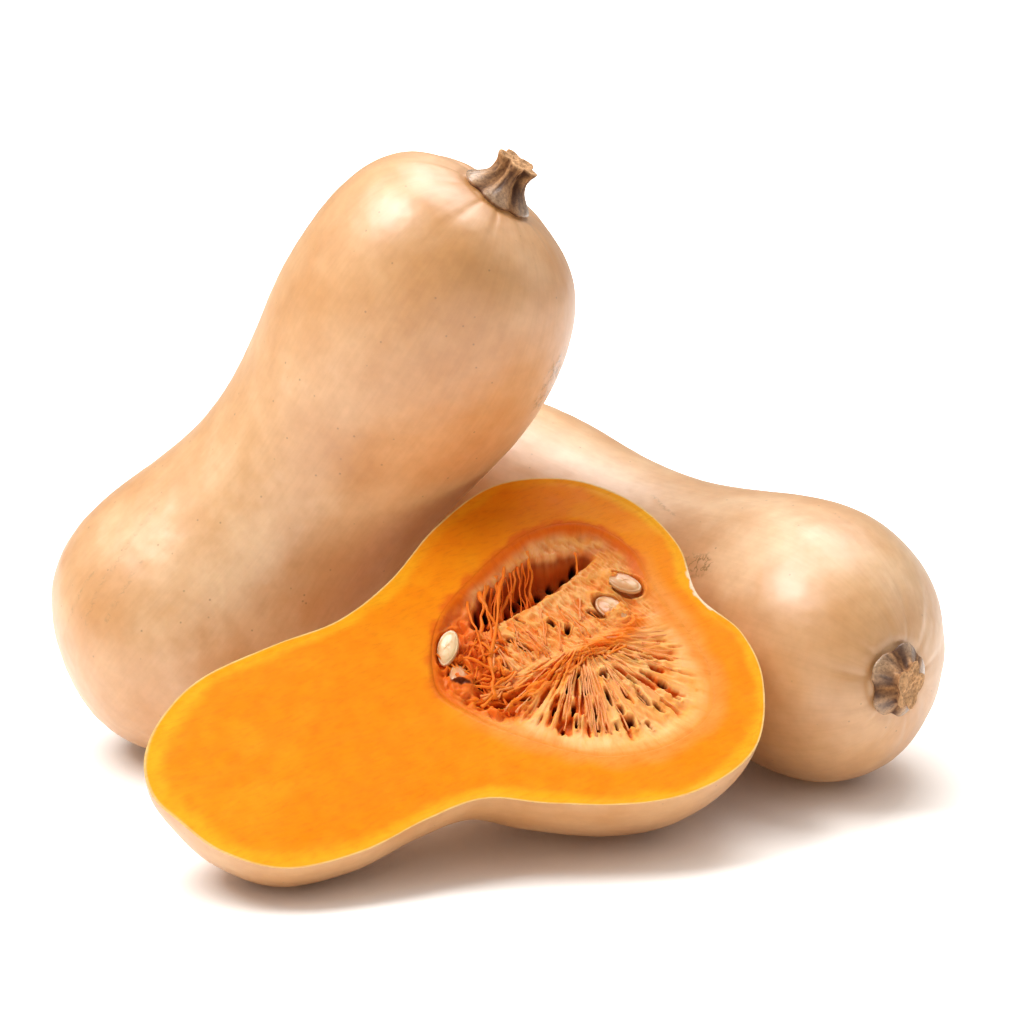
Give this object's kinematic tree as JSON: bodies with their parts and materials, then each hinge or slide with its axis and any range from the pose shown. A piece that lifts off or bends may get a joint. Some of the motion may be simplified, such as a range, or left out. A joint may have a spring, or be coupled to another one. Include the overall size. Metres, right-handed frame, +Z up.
{
  "type": "butternut squash group",
  "caption": "Butternut squash group: one whole fruit leaning on another that lies down, with a lengthwise cut half showing flesh, stringy pulp and seeds.",
  "frame": {"origin": "centre of the group's footprint, on the surface that it rests on", "axes": "+Z up; the cut half's open face looks towards -Y and up; +X to the viewer's right when looking along +Y"},
  "size_m": [0.3438, 0.3152, 0.2415],
  "materials": {
    "rind": "smooth tan rind with a soft waxy sheen",
    "flesh": "freshly cut moist orange flesh",
    "pulp": "stringy moist orange fibre",
    "seed": "smooth cream seed coat",
    "stem": "dry corky grey-brown stalk"
  },
  "bodies": {
    "root": {"leaning_squash": "rind", "leaning_stem": "stem", "lying_squash": "rind", "lying_stem": "stem", "half_squash": "flesh", "seed_pulp": "pulp", "seed_1": "seed", "seed_2": "seed", "seed_3": "seed", "seed_4": "seed"}
  },
  "joints": []
}
